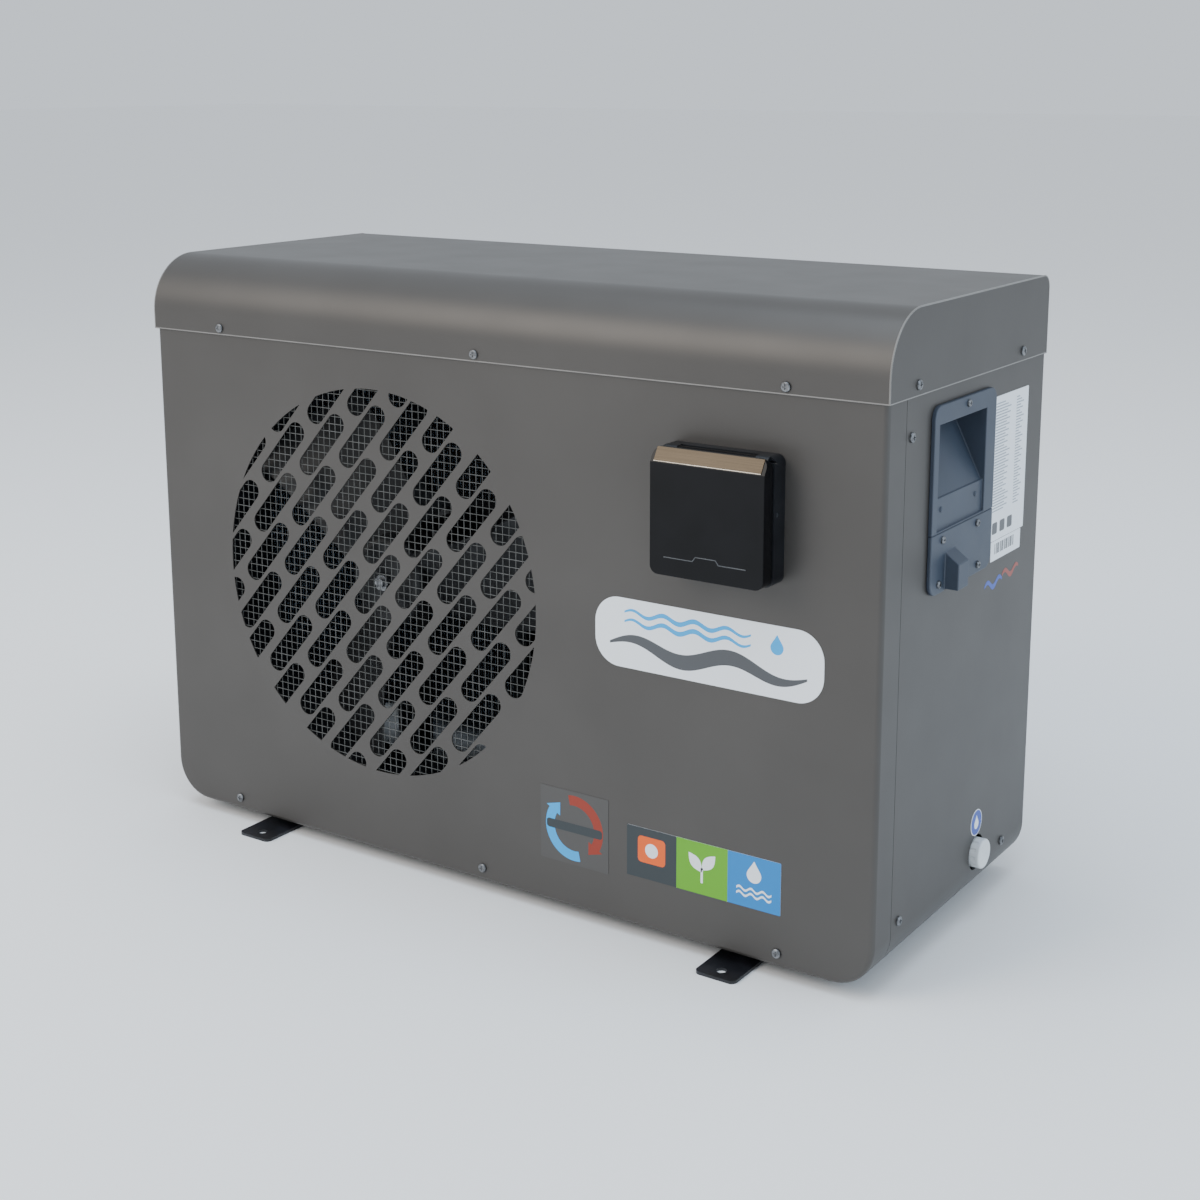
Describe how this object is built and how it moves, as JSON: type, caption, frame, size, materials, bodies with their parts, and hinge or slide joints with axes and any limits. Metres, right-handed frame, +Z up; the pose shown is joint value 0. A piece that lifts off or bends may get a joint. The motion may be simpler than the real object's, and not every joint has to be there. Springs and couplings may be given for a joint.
{
  "type": "pool heat pump unit",
  "caption": "Steel-cased pool heat pump with a slotted fan grille, rolled-front lid, flip-up controller, side hand pocket, rear water unions and foot rails.",
  "frame": {"origin": "on the floor, in the middle of the four foot holes", "axes": "+Z up, the front face with the fan grille faces -Y, +X along the width to the side with the hand pocket"},
  "size_m": [0.8716, 0.447, 0.609],
  "materials": {
    "casing_paint": "satin grey-brown powder coat",
    "galvanised": "galvanised sheet",
    "black_steel": "black paint",
    "screw_steel": "zinc-plated steel",
    "slate_plastic": "moulded, fine grain",
    "black_gloss": "polished black",
    "black_matt": "moulded black",
    "keys": "soft grey",
    "trim": "bright strip",
    "display": "dark lens",
    "fan_plastic": "moulded grey-blue",
    "motor_black": "semi-gloss black",
    "coil_fins": "hydrophilic fin stock",
    "copper": "drawn copper",
    "rubber": "soft black",
    "pvc_grey": "PVC",
    "white_plastic": "white",
    "board": "circuit board",
    "capacitor_can": "plain can",
    "label_film": "printed film"
  },
  "bodies": {
    "casing": {"accumulator": "motor_black", "base_pan": "galvanised", "cable_cover": "slate_plastic", "casing_screws": "screw_steel", "circuit_board": "board", "coil_bends": "copper", "coil_gas_pipe": "copper", "compressor": "motor_black", "compressor_bolts": "screw_steel", "compressor_grommets": "rubber", "contactor": "black_matt", "controller_base": "black_matt", "discharge_pipe": "copper", "display_lens": "display", "drain_spout": "white_plastic", "electrical_tray": "galvanised", "evaporator_coil": "coil_fins", "exchanger_gas_pipe": "copper", "fan_motor": "motor_black", "fan_shroud": "black_matt", "flow_switch": "pvc_grey", "foot_rail_left": "black_steel", "foot_rail_right": "black_steel", "four_way_valve": "copper", "front_labels": "label_film", "front_panel": "casing_paint", "handle_plate": "slate_plastic", "handle_screws": "screw_steel", "heat_exchanger": "pvc_grey", "hinge_pin": "screw_steel", "inlet_spigot": "pvc_grey", "inlet_tail": "pvc_grey", "left_guard": "black_steel", "left_side_panel": "casing_paint", "liquid_line": "copper", "mesh_screen": "galvanised", "motor_bracket": "galvanised", "outlet_spigot": "pvc_grey", "outlet_tail": "pvc_grey", "partition": "galvanised", "rear_guard": "black_steel", "rear_panel": "casing_paint", "right_side_panel": "casing_paint", "run_capacitor": "capacitor_can", "side_labels": "label_film", "suction_pipe": "copper", "terminal_block": "black_matt", "top_cover": "casing_paint"},
    "fan": {"fan_blade": "fan_plastic", "fan_shaft": "screw_steel", "fan_nut": "screw_steel"},
    "controller_lid": {"controller_cover": "black_gloss", "cover_trim": "trim"},
    "inlet_union": {"inlet_nut": "pvc_grey"},
    "outlet_union": {"outlet_nut": "pvc_grey"},
    "drain_plug": {"drain_cap": "white_plastic"},
    "key_power": {"button_power": "keys"},
    "key_mode": {"button_mode": "keys"},
    "key_up": {"button_up": "keys"},
    "key_down": {"button_down": "keys"}
  },
  "joints": [
    {"name": "fan_spin", "type": "hinge", "parent": "casing", "child": "fan", "pos_m": [-0.13, -0.135, 0.2965], "axis": [0, 1, 0], "continuous": true},
    {"name": "controller_lid_flip", "type": "hinge", "parent": "casing", "child": "controller_lid", "pos_m": [0.2735, -0.188, 0.477], "axis": [-1, 0, 0], "range_deg": [0, 100]},
    {"name": "inlet_union_turn", "type": "hinge", "parent": "casing", "child": "inlet_union", "pos_m": [0.335, 0.19, 0.11], "axis": [0, 1, 0], "continuous": true},
    {"name": "outlet_union_turn", "type": "hinge", "parent": "casing", "child": "outlet_union", "pos_m": [0.335, 0.19, 0.33], "axis": [0, 1, 0], "continuous": true},
    {"name": "drain_cap_turn", "type": "hinge", "parent": "casing", "child": "drain_plug", "pos_m": [0.425, 0.052, 0.064], "axis": [1, 0, 0], "continuous": true},
    {"name": "key_power_press", "type": "slide", "parent": "casing", "child": "key_power", "axis": [0, 1, 0], "range_m": [0, 0.0012], "stiffness_N_per_m": 400},
    {"name": "key_mode_press", "type": "slide", "parent": "casing", "child": "key_mode", "axis": [0, 1, 0], "range_m": [0, 0.0012], "stiffness_N_per_m": 400},
    {"name": "key_up_press", "type": "slide", "parent": "casing", "child": "key_up", "axis": [0, 1, 0], "range_m": [0, 0.0012], "stiffness_N_per_m": 400},
    {"name": "key_down_press", "type": "slide", "parent": "casing", "child": "key_down", "axis": [0, 1, 0], "range_m": [0, 0.0012], "stiffness_N_per_m": 400}
  ]
}
